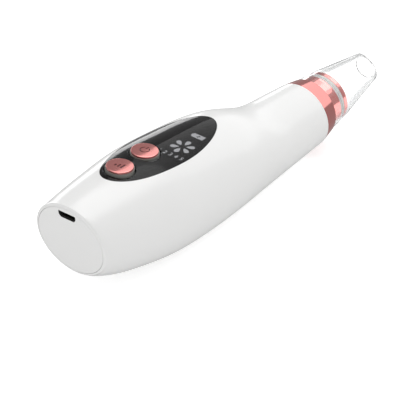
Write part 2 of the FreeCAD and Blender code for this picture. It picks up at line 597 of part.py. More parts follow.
def make_motor():
    inner = "can_radius - can_wall"
    can = turned("can_body", [
        (inner, 0), ("can_radius", 0), ("can_radius", "can_length"), ("boss_radius", "can_length"),
        ("boss_radius", "can_length + boss_length"), ("bush_radius", "can_length + boss_length"),
        ("bush_radius", "can_length - can_wall"), (inner, "can_length - can_wall")])
    keep(on_shaft(can, "can_x"), "motor_can")
    bell = turned("bell_body", [
        ("bush_radius", 0), ("can_radius - 0.1", 0), ("can_radius - 0.1", "bell_length"),
        ("can_radius - can_wall - 0.05", "bell_length"),
        ("can_radius - can_wall - 0.05", "bell_length + bell_inset"),
        ("can_radius - can_wall - 1.2", "bell_length + bell_inset"),
        ("can_radius - can_wall - 1.2", "bell_length - 1"), ("bush_radius", "bell_length - 1")])
    keep(on_shaft(bell, "can_x - bell_length"), "motor_end_bell")
    for end, x in (("rear", "can_x - bell_length"),
                   ("front", "can_x + can_length + boss_length - bush_length")):
        bush = turned(end + "_bush_body", [
            ("shaft_radius + shaft_gap", 0), ("bush_radius", 0), ("bush_radius", "bush_length"),
            ("shaft_radius + shaft_gap", "bush_length")])
        keep(on_shaft(bush, x), "motor_bush_" + end)
    ring = turned("magnet_ring", [
        ("magnet_inner", 0), ("magnet_outer", 0), ("magnet_outer", "magnet_length"),
        ("magnet_inner", "magnet_length")])
    on_shaft(ring, "can_x + 4.6")
    gap = block("magnet_gap", "can_x", 0, "shaft_z - 15", 30, 8, 30)
    keep(cut("magnet_pair", ring, gap), "motor_magnets")

    shaft_start = "can_x - bell_length + 0.2"
    keep(rod("rotor_shaft_rod", "shaft_radius", "wheel_x + 1.4 - (%s)" % shaft_start,
             shaft_start, 0, "shaft_z", along=True), "rotor_shaft")
    core = turned("core_body", [
        ("shaft_radius", 0), ("core_radius", 0), ("core_radius", "core_length"),
        ("shaft_radius", "core_length")])
    on_shaft(core, "can_x + 5.6")
    slots = []
    for step in range(3):
        slot = bind(doc.addObject("Part::Box", "core_slot"),
                    {"Length": "core_length + 2", "Width": 1.2, "Height": "core_radius"})
        turn = FreeCAD.Rotation(ALONG, 120 * step)
        corner = turn.multVec(FreeCAD.Vector(0, -0.6, 3.4))
        seat(slot, "can_x + 4.6", "%.4f" % corner.y, "shaft_z + (%.4f)" % corner.z,
             ALONG, 120 * step)
        slots.append(slot)
    keep(cut("core_slotted", core, *slots), "rotor_core")
    coils = []
    for x in ("can_x + 4.4", "can_x + 5.6 + core_length"):
        coil = turned("coil_body", [(3.0, 0), (8.0, 0), (8.0, 1.2), (3.0, 1.2)])
        coils.append(on_shaft(coil, x))
    keep(group("coil_pair", coils), "rotor_windings")
    commutator = turned("commutator_body", [
        ("shaft_radius", 0), ("commutator_radius", 0), ("commutator_radius", 3.2),
        ("shaft_radius", 3.2)])
    keep(on_shaft(commutator, "can_x + 0.4"), "rotor_commutator")
    brushes = [block("brush", "can_x + 1.2", "%d * (commutator_radius + 0.1 + 1.5)" % side,
                     "shaft_z - 1", 1.6, 3, 2) for side in (1, -1)]
    keep(group("brush_pair", brushes), "motor_brushes")
    for side, colour in ((1, "red"), (-1, "black")):
        y = "%d * 4" % side
        keep(tube("motor_lead_" + colour,
                  [("can_x - bell_length - 0.65", y, "shaft_z + 2"),
                   ("can_x - bell_length - 0.65", y, 0),
                   ("can_x - bell_length - 1.5", y, "board_top - board_thick - 0.1")],
                  value("lead_radius"), 0, 4 * value("lead_bend")), "motor_lead_" + colour)


def wobble_frame():
    """The crank pin's direction, and the point it passes through, from the cap's centre."""
    tilt = radians(value("wobble_tilt"))
    return FreeCAD.Vector(cos(tilt), 0, sin(tilt))


def on_pin(item, reach):
    way = wobble_frame()
    return seat(item, "wobble_x + (%s) * %.6f" % (reach, way.x), 0,
                "shaft_z + (%s) * %.6f" % (reach, way.z), ACROSS, 90 - value("wobble_tilt"))


def round_about(count, circle, start=0):
    """Places on a circle round the shaft, as y and z formulas."""
    for step in range(count):
        turn = radians(start + 360 / count * step)
        yield "%s * %.4f" % (circle, sin(turn)), "shaft_z + %s * (%.4f)" % (circle, cos(turn))


def make_pump():
    pin = on_pin(rod("crank_pin_rod", "pin_radius", 7.0, 0, 0, 0), "-5")
    wheel = rod("wheel_disc", "wheel_radius", "wheel_thick", "wheel_x", 0, "shaft_z", along=True)
    shaft_hole = rod("wheel_bore", "shaft_radius", "1.4", "wheel_x", 0, "shaft_z", along=True)
    keep(cut("wheel_cut", wheel, shaft_hole, pin), "drive_wheel")
    keep(pin, "crank_pin")
    plate = turned("plate_body", [
        ("pin_radius + pin_gap", 0), ("hub_radius", 0), ("hub_radius", 1.2),
        ("wobble_radius", 1.2), ("wobble_radius", "1.2 + wobble_thick"),
        ("hub_radius", "1.2 + wobble_thick"), ("hub_radius", "1.8 + wobble_thick"),
        ("pin_radius + pin_gap", "1.8 + wobble_thick")])
    keep(on_pin(plate, "-1.2 - wobble_thick / 2"), "wobble_plate")

    screws = list(round_about(3, "pump_screw_circle", 60))

    def drilled(name, solid):
        holes = [rod(name + "_hole", "pump_screw_radius", 30, "pump_x + 1.5", y, z, along=True)
                 for y, z in screws]
        return cut(name + "_drilled", solid, *holes)

    inner = "pump_radius - pump_wall"
    house = turned("pump_house_body", [
        ("boss_radius + 0.05", 0), ("pump_radius", 0), ("pump_radius", "pump_length"),
        (inner, "pump_length"), (inner, "pump_floor"), ("boss_radius + 0.05", "pump_floor")])
    keep(drilled("pump_house", on_shaft(house, "pump_x")), "pump_housing")

    sheet_x = "pump_x + pump_length"
    rubber = [rod("rubber_sheet", "pump_radius", "sheet_thick", sheet_x, 0, "shaft_z", along=True)]
    rubber += [rod("rubber_stem", 1.4, "stem_reach", sheet_x + " - stem_reach", y, z, along=True)
               for y, z in round_about(3, "cup_circle")]
    keep(drilled("rubber", fuse("rubber_solid", *rubber)), "pump_diaphragm")

    valve_x = sheet_x + " + sheet_thick"
    valve = rod("valve_disc", "pump_radius", "valve_thick", valve_x, 0, "shaft_z", along=True)
    rooms = [rod("chamber", "chamber_radius", "chamber_depth", valve_x, y, z, along=True)
             for y, z in round_about(3, "cup_circle")]
    ports = [rod("valve_port", 0.6, "valve_thick + 1", valve_x, y, z, along=True)
             for y, z in round_about(3, "cup_circle - 1.5")]
    keep(drilled("valve", cut("valve_cut", valve, *rooms, *ports)), "valve_plate")

    cover_x = valve_x + " + valve_thick"
    cover = rod("cover_disc", "pump_radius", "cover_thick", cover_x, 0, "shaft_z", along=True)
    gallery = rod("gallery", 8.5, "cover_thick - 1.4", cover_x, 0, "shaft_z", along=True)
    nipples = []
    bores = []
    for z in ("shaft_z - nipple_drop", "shaft_z + outlet_rise"):
        nipples.append(rod("cover_nipple", "nipple_radius", "nipple_reach + 1",
                           cover_x + " + cover_thick - 1", 0, z, along=True))
        bores.append(rod("cover_bore", "port_radius - 0.2", "nipple_reach + 4",
                         cover_x + " + cover_thick - 3", 0, z, along=True))
    solid = fuse("cover_solid", cut("cover_cup", cover, gallery), *nipples)
    keep(drilled("cover", cut("cover_bored", solid, *bores)), "pump_cover")

    bolts = []
    for y, z in screws:
        head = rod("bolt_head", "pump_screw_head", 0.9, cover_x + " + cover_thick", y, z, along=True)
        shank = rod("bolt_shank", "pump_screw_radius", "%s + cover_thick - pump_x - 3" % cover_x,
                    "pump_x + 3", y, z, along=True)
        bolts.append(fuse("pump_bolt", head, shank))
    keep(group("pump_bolts", bolts), "pump_screws")

    damper = turned("damper_body", [
        ("pump_radius + 0.05", 0), ("pump_radius + damper_wall", 0),
        ("pump_radius + damper_wall", "damper_length"), ("pump_radius + 0.05", "damper_length")])
    keep(on_shaft(damper, "pump_x + 2"), "pump_damper")

    lean = radians(value("nose_tilt"))
    level = value("shaft_z - nipple_drop")
    meet = value("nose_x") + (level - value("nose_z")) / tan(lean)
    end = value("plug_length") + 1
    start_x = value(cover_x + " + cover_thick + 0.6")
    half = min(meet - start_x, value("nose_x") - end - meet)
    keep(tube("suction_hose_tube",
              [(start_x, 0, level), (meet, 0, level),
               ("nose_x - %.4f" % (end * cos(lean)), 0, "nose_z - %.4f" % (end * sin(lean)))],
              value("hose_radius"), value("hose_bore"), 0.45 * half / tan(lean / 2)),
         "suction_hose")


def make_nose():
    collar = turned("collar_body", [
        ("port_radius", "0 - nipple_end"), ("nipple_radius", "0 - nipple_end"),
        ("nipple_radius", "0 - plug_length"), ("plug_radius", "0 - plug_length"),
        ("plug_radius", 0), ("collar_base", 0), ("collar_top", "collar_length"),
        ("spigot_radius", "collar_length"), ("spigot_radius", "groove_start"),
        ("groove_radius", "groove_start"), ("groove_radius", "groove_end"),
        ("spigot_radius", "groove_end"), ("spigot_radius", "spigot_end - 0.4"),
        ("spigot_radius - 0.4", "spigot_end"), ("filter_bore", "spigot_end"),
        ("filter_bore", "filter_floor"), ("port_radius", "filter_floor")])
    keep(on_nose(collar), "nozzle_collar")
    seal = turned("seal_body", [
        ("groove_radius", 0), ("seal_radius - 0.3", 0), ("seal_radius", 0.3),
        ("seal_radius", "groove_end - groove_start - 0.3"),
        ("seal_radius - 0.3", "groove_end - groove_start"),
        ("groove_radius", "groove_end - groove_start")])
    keep(on_nose(seal, "groove_start"), "nozzle_seal")
    sponge = rod("sponge_disc", "filter_bore", "sponge_thick", 0, 0, 0)
    keep(on_nose(sponge, "filter_floor + 1"), "filter_sponge")
    disc = peg("retainer_disc", "filter_bore", "retainer_thick", 0, 0, 0)
    holes = [peg("retainer_hole", "retainer_hole", "retainer_thick + 2", 0, 0, "-1")]
    for step in range(6):
        turn = radians(60 * step)
        holes.append(peg("retainer_hole", "retainer_hole", "retainer_thick + 2",
                         "filter_bore * %.4f" % (0.55 * cos(turn)),
                         "filter_bore * %.4f" % (0.55 * sin(turn)), "-1"))
    retainer = cut("retainer_cut", disc, *holes)
    keep(on_nose(retainer, "filter_floor + 1 + sponge_thick"), "filter_retainer")


def make_tip():
    """The clear head: a flanged socket over the spigot, then a cone down to a round mouth."""
    start = "collar_length + 0.06"
    socket = "spigot_radius + tip_gap"
    tip = turned("tip_body", [
        (socket, start), ("tip_flange_radius", start),
        ("tip_flange_radius - 0.35", "tip_flange_end - 0.3"),
        ("tip_shoulder + 0.1", "tip_flange_end"), ("tip_shoulder - 0.35", "tip_socket_end"),
        ("tip_lip + 0.15", "tip_length - 1.6"), ("tip_lip - 0.25", "tip_length - 0.6"),
        ("tip_lip - 0.85", "tip_length"), ("tip_mouth + 0.35", "tip_length"),
        ("tip_mouth", "tip_length - 0.5"), ("tip_mouth + 0.1", "tip_length - 1.3"),
        ("tip_shoulder - 0.5 - tip_wall", "tip_socket_end + 1.5"), (socket, "tip_socket_end")])
    keep(on_nose(tip), "suction_tip")


make_shell()
make_end_cap()
make_window()
make_display_floor()
make_button("mode", "mode_x")
make_button("power", "power_x")
make_board()
make_chassis()
make_battery()
make_motor()
make_pump()
make_nose()
make_tip()
doc.recompute()

for item in doc.Objects:
    if "Invalid" in item.State or "Error" in item.State:
        raise RuntimeError("%s did not build: %s" % (item.Name, item.State))
for item in pieces:
    if item.Shape.isNull() or not item.Shape.isValid():
        raise RuntimeError("%s has no valid shape" % item.Label)

os.makedirs("parts", exist_ok=True)
for item in pieces:
    item.Shape.exportStep("parts/%s.step" % item.Label)
    print(item.Label, "solids", len(item.Shape.Solids), "volume %.1f" % item.Shape.Volume)
print(len(pieces), "sub-parts")
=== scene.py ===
import json
from math import cos, pi, radians, sin, tan

import bpy
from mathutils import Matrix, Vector


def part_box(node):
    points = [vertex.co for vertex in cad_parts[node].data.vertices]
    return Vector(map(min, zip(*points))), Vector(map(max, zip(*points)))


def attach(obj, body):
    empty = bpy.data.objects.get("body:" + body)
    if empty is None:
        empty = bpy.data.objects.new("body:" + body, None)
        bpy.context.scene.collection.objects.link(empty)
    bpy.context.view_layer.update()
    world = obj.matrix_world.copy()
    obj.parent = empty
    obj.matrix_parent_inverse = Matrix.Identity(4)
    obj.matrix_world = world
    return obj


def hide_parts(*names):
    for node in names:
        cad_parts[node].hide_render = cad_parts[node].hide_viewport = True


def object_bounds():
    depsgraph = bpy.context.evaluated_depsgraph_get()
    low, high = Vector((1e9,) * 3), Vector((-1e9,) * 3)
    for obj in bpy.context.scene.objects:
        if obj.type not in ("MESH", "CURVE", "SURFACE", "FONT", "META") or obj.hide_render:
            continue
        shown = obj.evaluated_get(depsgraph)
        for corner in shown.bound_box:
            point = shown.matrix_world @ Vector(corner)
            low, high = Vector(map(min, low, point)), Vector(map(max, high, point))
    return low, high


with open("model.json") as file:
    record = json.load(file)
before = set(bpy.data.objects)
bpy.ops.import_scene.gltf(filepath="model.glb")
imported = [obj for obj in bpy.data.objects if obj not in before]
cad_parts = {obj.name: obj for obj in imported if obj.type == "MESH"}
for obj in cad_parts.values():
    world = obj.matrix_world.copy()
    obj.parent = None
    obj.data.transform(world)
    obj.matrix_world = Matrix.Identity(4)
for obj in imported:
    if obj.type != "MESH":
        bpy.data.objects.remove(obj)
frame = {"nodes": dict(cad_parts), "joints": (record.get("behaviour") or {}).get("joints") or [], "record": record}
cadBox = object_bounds()

mm = 0.001
mergeGap = 0.002 * mm  # corners nearer than this are one corner
sharpAngle = radians(50)  # an edge that turns more than this is bevelled
joints = {joint["name"]: joint for joint in frame["joints"]}
windowLow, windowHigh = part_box("display_window")
noseWay = Vector(joints["tip_pull"]["axis"])


def deselect():
    if bpy.context.object and bpy.context.object.mode != "OBJECT":
        bpy.ops.object.mode_set(mode="OBJECT")
    bpy.ops.object.select_all(action="DESELECT")


def pick(piece):
    deselect()
    piece.select_set(True)
    bpy.context.view_layer.objects.active = piece


def named(name):
    piece = bpy.context.object
    piece.name = name
    piece.data.name = name
    return piece


def edit(piece, kind="VERT"):
    pick(piece)
    bpy.ops.object.mode_set(mode="EDIT")
    bpy.ops.mesh.select_mode(type=kind)
    bpy.ops.mesh.select_all(action="SELECT")


def tidyMesh(piece):
    edit(piece)
    bpy.ops.mesh.remove_doubles(threshold=mergeGap)
    bpy.ops.mesh.normals_make_consistent(inside=False)
    bpy.ops.object.mode_set(mode="OBJECT")


def addModifier(piece, kind, **settings):
    pick(piece)
    modifier = piece.modifiers.new(kind.title(), kind)
    for key, value in settings.items():
        setattr(modifier, key, value)
    bpy.ops.object.modifier_apply(modifier=modifier.name)


def cutWith(piece, tool, operation="DIFFERENCE"):
    addModifier(piece, "BOOLEAN", operation=operation, object=tool, solver="EXACT")
    bpy.data.objects.remove(tool)


def smooth(piece, angle=32):  # edges that turn less than the angle are shaded round
    pick(piece)
    bpy.ops.object.shade_smooth_by_angle(angle=radians(angle))


def settle(piece):  # put the place, turn and size into the mesh
    pick(piece)
    bpy.ops.object.transform_apply(location=True, rotation=True, scale=True)


def placeAlong(piece, place, way):  # stand a piece's own Z along a direction
    piece.rotation_euler = way.to_track_quat("Z", "Y").to_euler()
    piece.location = place
    settle(piece)


def joinPieces(name, pieces):
    deselect()
    for piece in pieces:
        piece.select_set(True)
    bpy.context.view_layer.objects.active = pieces[0]
    bpy.ops.object.join()
    return named(name)


def softCorners(profile, closed=True, steps=5):  # round the corners that have a third number
    points = []
    size = len(profile)
    for index, (radius, height, *soft) in enumerate(profile):
        corner = Vector((radius, height))
        if not soft or (not closed and index in (0, size - 1)):
            points.append(corner)
            continue
        before = Vector(profile[index - 1][:2]) - corner
        after = Vector(profile[(index + 1) % size][:2]) - corner
        start = corner + before.normalized() * soft[0]
        end = corner + after.normalized() * soft[0]
        for step in range(steps + 1):
            share = step / steps
            points.append(start.lerp(corner, share).lerp(corner.lerp(end, share), share))
    return points


def heldEdges(points, closed, hold=0.2):  # extra rings by each edge keep long walls shaded straight
    held = []
    longWall = 4 * hold
    for index, point in enumerate(points):
        held.append(point)
        if index == len(points) - 1 and not closed:
            break
        after = points[(index + 1) % len(points)]
        gap = (after - point).length
        if gap > longWall:
            held += [point.lerp(after, hold / gap), after.lerp(point, hold / gap)]
    return held


def lathe(name, profile, closed=True, sides=128):  # spin a profile of (radius, height) round Z
    points = heldEdges(softCorners(profile, closed), closed)
    deselect()
    bpy.ops.mesh.primitive_circle_add(vertices=len(points), radius=mm)
    piece = named(name)
    for corner, point in zip(piece.data.vertices, points):
        corner.co = (point.x * mm, 0, point.y * mm)
    if not closed:  # the two ends lie on the axis, so the edge between them goes
        edit(piece, "EDGE")
        bpy.ops.mesh.select_all(action="DESELECT")
        bpy.ops.object.mode_set(mode="OBJECT")
        ends = {0, len(points) - 1}
        for edge in piece.data.edges:
            edge.select = set(edge.vertices) == ends
        bpy.ops.object.mode_set(mode="EDIT")
        bpy.ops.mesh.delete(type="EDGE")
    edit(piece)
    bpy.ops.mesh.spin(steps=sides, angle=2 * pi, center=(0, 0, 0), axis=(0, 0, 1))
    bpy.ops.object.mode_set(mode="OBJECT")
    tidyMesh(piece)
    return piece


def column(name, place, radii, height, sides=192):  # an upright oval column, for cutting
    deselect()
    bpy.ops.mesh.primitive_cylinder_add(vertices=sides, radius=1, depth=1, location=place)
    piece = named(name)
    piece.scale = (radii[0] * mm, radii[1] * mm, height * mm)
    settle(piece)
    return piece


surfaceNoise = {
    "cloudScale": 55, "cloudDetail": 3,  # slow changes of tone over a piece
    "smearScale": 140, "smearDetail": 5,  # handling marks in the gloss
    "grainDetail": 4, "bump": 0.1,  # the grain's height in millimetres
}


def groupSocket(tree, name, kind, direction, value=None):
    socket = tree.interface.new_socket(name=name, in_out=direction,
                                       socket_type="NodeSocket" + kind)
    if value is not None:
        socket.default_value = value


def makeSurfaceGroup():  # moulded or plated surface: faint tone, gloss and bump changes
    tree = bpy.data.node_groups.new("surfaceDetail", "ShaderNodeTree")
    groupSocket(tree, "Colour", "Color", "INPUT", (0.8, 0.8, 0.8, 1))
    groupSocket(tree, "Shade", "Color", "INPUT", (0.7, 0.7, 0.7, 1))
    groupSocket(tree, "Tone", "Float", "INPUT", 0.1)
    groupSocket(tree, "Gloss", "Float", "INPUT", 0.25)
    groupSocket(tree, "Spread", "Float", "INPUT", 0.05)
    groupSocket(tree, "Grain", "Float", "INPUT", 900)
    groupSocket(tree, "Depth", "Float", "INPUT", 0.05)
    groupSocket(tree, "Colour", "Color", "OUTPUT")
    groupSocket(tree, "Roughness", "Float", "OUTPUT")
    groupSocket(tree, "Normal", "Vector", "OUTPUT")
    nodes, links = tree.nodes, tree.links
    given = nodes.new("NodeGroupInput")
    out = nodes.new("NodeGroupOutput")
    place = nodes.new("ShaderNodeTexCoord")
    cloud = nodes.new("ShaderNodeTexNoise")
    cloud.inputs["Scale"].default_value = surfaceNoise["cloudScale"]
    cloud.inputs["Detail"].default_value = surfaceNoise["cloudDetail"]
    links.new(place.outputs["Object"], cloud.inputs["Vector"])
    amount = nodes.new("ShaderNodeMath")
    amount.operation = "MULTIPLY"
    links.new(cloud.outputs["Fac"], amount.inputs[0])
    links.new(given.outputs["Tone"], amount.inputs[1])
    blend = nodes.new("ShaderNodeMix")
    blend.data_type = "RGBA"
    links.new(amount.outputs[0], blend.inputs["Factor"])
    links.new(given.outputs["Colour"], blend.inputs["A"])
    links.new(given.outputs["Shade"], blend.inputs["B"])
    links.new(blend.outputs["Result"], out.inputs["Colour"])
    smear = nodes.new("ShaderNodeTexNoise")
    smear.inputs["Scale"].default_value = surfaceNoise["smearScale"]
    smear.inputs["Detail"].default_value = surfaceNoise["smearDetail"]
    links.new(place.outputs["Object"], smear.inputs["Vector"])
    centred = nodes.new("ShaderNodeMath")
    centred.operation = "SUBTRACT"
    centred.inputs[1].default_value = 0.5  # the noise runs from 0 to 1, so the gloss goes both ways
    links.new(smear.outputs["Fac"], centred.inputs[0])
    scaled = nodes.new("ShaderNodeMath")
    scaled.operation = "MULTIPLY_ADD"
    links.new(centred.outputs[0], scaled.inputs[0])
    links.new(given.outputs["Spread"], scaled.inputs[1])
    links.new(given.outputs["Gloss"], scaled.inputs[2])
    links.new(scaled.outputs[0], out.inputs["Roughness"])
    grain = nodes.new("ShaderNodeTexNoise")
    grain.inputs["Detail"].default_value = surfaceNoise["grainDetail"]
    links.new(place.outputs["Object"], grain.inputs["Vector"])
    links.new(given.outputs["Grain"], grain.inputs["Scale"])
    bump = nodes.new("ShaderNodeBump")
    bump.inputs["Distance"].default_value = surfaceNoise["bump"] * mm
    links.new(grain.outputs["Fac"], bump.inputs["Height"])
    links.new(given.outputs["Depth"], bump.inputs["Strength"])
    links.new(bump.outputs["Normal"], out.inputs["Normal"])
    return tree


finishes = {
    "white_shell": {"colour": (0.83, 0.83, 0.825), "shade": (0.8, 0.8, 0.79), "gloss": 0.2,
                    "coat": 0.12, "depth": 0.02, "velvet": 0.3},
    "rose_gold": {"colour": (0.93, 0.37, 0.35), "shade": (0.89, 0.34, 0.32), "metal": 1,
                  "gloss": 0.11, "spread": 0.03, "depth": 0.01},
    # the clear head's edge colour is painted shade: grey where its wall is seen edge on
    "clear_head": {"colour": (1, 1, 1), "clear": 1, "gloss": 0.02, "ior": 1.4, "tone": 0,
                   "paintedEdgeShade": (0.64, 0.65, 0.65), "paintedShadeFrom": 0.5, "paintedShadeTo": 0.57},
    "smoked_window": {"colour": (0.11, 0.11, 0.115), "clear": 1, "gloss": 0.03, "ior": 1.3},
    "black_plastic": {"colour": (0.012, 0.012, 0.013), "shade": (0.02, 0.02, 0.02), "gloss": 0.42,
                      "depth": 0.25},
    "grey_sleeve": {"colour": (0.2, 0.2, 0.185), "shade": (0.16, 0.16, 0.145), "gloss": 0.3,
                    "depth": 0.05},
    "white_silicone": {"colour": (0.86, 0.86, 0.85), "shade": (0.8, 0.79, 0.77), "gloss": 0.5,
                       "depth": 0.1, "soft": 0.1},
    "hose_silicone": {"colour": (0.78, 0.79, 0.77), "shade": (0.7, 0.7, 0.66), "gloss": 0.4,
                      "depth": 0.08, "soft": 0.1},
    "black_rubber": {"colour": (0.02, 0.02, 0.02), "shade": (0.035, 0.034, 0.033), "gloss": 0.65,
                     "depth": 0.3, "tone": 0.6},
    "foam_tape": {"colour": (0.025, 0.025, 0.025), "shade": (0.06, 0.06, 0.06), "gloss": 0.9,
                  "depth": 0.9, "grain": 2500, "tone": 0.8},
    "filter_foam": {"colour": (0.85, 0.84, 0.8), "shade": (0.55, 0.54, 0.5), "gloss": 0.95,
                    "depth": 1, "grain": 1800, "tone": 0.9},
    "light_guide": {"colour": (0.75, 0.76, 0.76), "shade": (0.65, 0.66, 0.66), "gloss": 0.35,
                    "glow": 4.5},
    "circuit_green": {"colour": (0.01, 0.12, 0.045), "shade": (0.02, 0.2, 0.08), "gloss": 0.3,
                      "grain": 1600, "depth": 0.2, "tone": 0.7},
    "chip_black": {"colour": (0.02, 0.02, 0.022), "shade": (0.04, 0.04, 0.04), "gloss": 0.55,
                   "depth": 0.4, "grain": 3000},
    "ceramic_tan": {"colour": (0.38, 0.26, 0.15), "shade": (0.55, 0.5, 0.42), "gloss": 0.45,
                    "tone": 0.8},
    "led_white": {"colour": (0.9, 0.85, 0.55), "shade": (0.9, 0.8, 0.4), "gloss": 0.3},
    "steel": {"colour": (0.45, 0.45, 0.46), "shade": (0.33, 0.33, 0.34), "metal": 1,
              "gloss": 0.32, "spread": 0.2, "grain": 700, "depth": 0.15, "tone": 0.7},
    "nickel": {"colour": (0.5, 0.48, 0.44), "shade": (0.42, 0.4, 0.37), "metal": 1,
               "gloss": 0.25, "spread": 0.12},
    "bronze": {"colour": (0.48, 0.28, 0.11), "shade": (0.36, 0.2, 0.08), "metal": 1,
               "gloss": 0.45, "depth": 0.5, "grain": 2200, "tone": 0.8},
    "copper": {"colour": (0.6, 0.24, 0.1), "shade": (0.45, 0.15, 0.06), "metal": 1, "gloss": 0.3,
               "depth": 0.7, "grain": 2600},
    "ferrite": {"colour": (0.05, 0.05, 0.055), "shade": (0.09, 0.085, 0.08), "gloss": 0.6,
                "depth": 0.6, "tone": 0.8},
    "cell_sleeve": {"colour": (0.02, 0.09, 0.33), "shade": (0.015, 0.07, 0.26), "gloss": 0.28,
                    "depth": 0.12},
    "red_wire": {"colour": (0.45, 0.01, 0.01), "shade": (0.35, 0.01, 0.01), "gloss": 0.45},
    "black_wire": {"colour": (0.015, 0.015, 0.015), "shade": (0.03, 0.03, 0.03), "gloss": 0.45},
    "nylon": {"colour": (0.7, 0.69, 0.62), "shade": (0.62, 0.6, 0.52), "gloss": 0.4,
              "depth": 0.15},
    "chassis_plastic": {"colour": (0.3, 0.31, 0.32), "shade": (0.25, 0.26, 0.27), "gloss": 0.45,
                        "depth": 0.35},
    "graphite": {"colour": (0.03, 0.03, 0.03), "shade": (0.06, 0.06, 0.06), "gloss": 0.5,
                 "depth": 0.3},
    "sign_paint": {"colour": (0.09, 0.025, 0.025), "shade": (0.07, 0.02, 0.02), "gloss": 0.4},
}


def makeFinish(name):
    recipe = {"shade": finishes[name]["colour"], "tone": 0.35, "gloss": 0.3, "spread": 0.06,
              "grain": 1200, "depth": 0.05, "metal": 0, "clear": 0, "coat": 0, "coatGloss": 0.06,
              "ior": 1.49, "glow": 0, "soft": 0, "softDepth": 1, "velvet": 0, "velvetGloss": 0.25,
              **finishes[name]}
    material = bpy.data.materials.new(name + "Finish")
    material.use_nodes = True
    nodes, links = material.node_tree.nodes, material.node_tree.links
    shader = nodes["Principled BSDF"]
    shader.inputs["Metallic"].default_value = recipe["metal"]
    shader.inputs["Transmission Weight"].default_value = recipe["clear"]
    shader.inputs["Coat Weight"].default_value = recipe["coat"]
    shader.inputs["Coat Roughness"].default_value = recipe["coatGloss"]
    shader.inputs["IOR"].default_value = recipe["ior"]
    shader.inputs["Sheen Weight"].default_value = recipe["velvet"]
    shader.inputs["Sheen Roughness"].default_value = recipe["velvetGloss"]
    shader.inputs["Subsurface Weight"].default_value = recipe["soft"]
    shader.inputs["Subsurface Scale"].default_value = recipe["softDepth"] * mm
    detail = nodes.new("ShaderNodeGroup")
    detail.node_tree = surfaceGroup
    detail.inputs["Colour"].default_value = (*recipe["colour"], 1)
    detail.inputs["Shade"].default_value = (*recipe["shade"], 1)
    for key in ("tone", "gloss", "spread", "grain", "depth"):
        detail.inputs[key.title()].default_value = recipe[key]
    if "paintedEdgeShade" in recipe:  # painted shade: the clear plastic's colour is made grey where its wall is seen edge on
        facing = nodes.new("ShaderNodeLayerWeight")
        facing.inputs["Blend"].default_value = 0.5  # an even change from face on to edge on
        reach = nodes.new("ShaderNodeMapRange")
        reach.inputs["From Min"].default_value = recipe["paintedShadeFrom"]
        reach.inputs["From Max"].default_value = recipe["paintedShadeTo"]
        links.new(facing.outputs["Facing"], reach.inputs["Value"])
        # the painted shade is mixed into the base colour here
        edgeShadeMix = nodes.new("ShaderNodeMix")
        edgeShadeMix.data_type = "RGBA"
        edgeShadeMix.inputs["B"].default_value = (*recipe["paintedEdgeShade"], 1)
        links.new(reach.outputs["Result"], edgeShadeMix.inputs["Factor"])
        links.new(detail.outputs["Colour"], edgeShadeMix.inputs["A"])
        links.new(edgeShadeMix.outputs["Result"], shader.inputs["Base Color"])
    else:
        links.new(detail.outputs["Colour"], shader.inputs["Base Color"])
    links.new(detail.outputs["Roughness"], shader.inputs["Roughness"])
    links.new(detail.outputs["Normal"], shader.inputs["Normal"])
    if recipe["glow"]:
        links.new(detail.outputs["Colour"], shader.inputs["Emission Color"])
        shader.inputs["Emission Strength"].default_value = recipe["glow"]
    return material


def dress(piece, finish, body):  # give a piece its finish and the body it rides on
    piece.data.materials.clear()
    piece.data.materials.append(materials[finish])
    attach(piece, body)


surfaceGroup = makeSurfaceGroup()
materials = {name: makeFinish(name) for name in finishes}
for entry in frame["record"]["subparts"]:  # every CAD node gets its finish
    node = frame["nodes"][entry["node"]]
    node.data.materials.clear()
    node.data.materials.append(materials[entry["material_slot"]])
print("finishes:", len(materials))


barrel = {
    "origin": (-90.521, 0, 26.154),  # centre of the end cap's face
    # along, up, radius and lean of each round section
    "sections": [(0, 0, 16.0, 13), (11.0, -1.3, 18.3, 6), (27.8, -2.6, 20.75, 4),
                 (43.8, -3.3, 22.2, 1), (59.6, -4.05, 22.1, 0), (76.5, -4.6, 21.2, 0),
                 (94.8, -6.0, 18.95, 0), (111.5, -8.75, 15.8, 0), (128.5, -9.0, 14.3, 2.5),
                 (141.7, -8.76, 13.4, 4.5)],
    "sides": 128, "rings": 56, "wall": 2.0,
    "round": 0.8, "roundSteps": 6, "roundFlare": 0.2,  # the heel's rounded edge
    "capSeat": 15.05, "capDepth": 2.05, "capEase": 0.12,  # recess for the end cap's disc
    "skirtSeat": 13.86, "skirtDepth": 5.0,  # bore for the end cap's skirt
    "plugSeat": 11.24, "plugDepth": 5.0,  # bore for the collar's plug
    "windowGap": 0.06, "windowCut": 30,  # round the window, and the cutting tool's height
}


def naturalSpline(knots, values):  # smooth line through the values, free at both ends
    size = len(knots)
    gaps = [knots[i + 1] - knots[i] for i in range(size - 1)]
    slopes = [(values[i + 1] - values[i]) / gaps[i] for i in range(size - 1)]
    bends = [0.0] * size
    spread = [0.0] * size
    for i in range(1, size - 1):
        pivot = 2 * (gaps[i - 1] + gaps[i]) - gaps[i - 1] * spread[i - 1]
        spread[i] = gaps[i] / pivot
        bends[i] = (6 * (slopes[i] - slopes[i - 1]) - gaps[i - 1] * bends[i - 1]) / pivot
    for i in range(size - 2, 0, -1):
        bends[i] -= spread[i] * bends[i + 1]

    def at(place):
        i = max(0, min(size - 2, sum(place >= knot for knot in knots) - 1))
        left, right = place - knots[i], knots[i + 1] - place
        curve = (bends[i] * right ** 3 + bends[i + 1] * left ** 3) / (6 * gaps[i])
        return (curve + (values[i] / gaps[i] - bends[i] * gaps[i] / 6) * right
                + (values[i + 1] / gaps[i] - bends[i + 1] * gaps[i] / 6) * left)

    return at


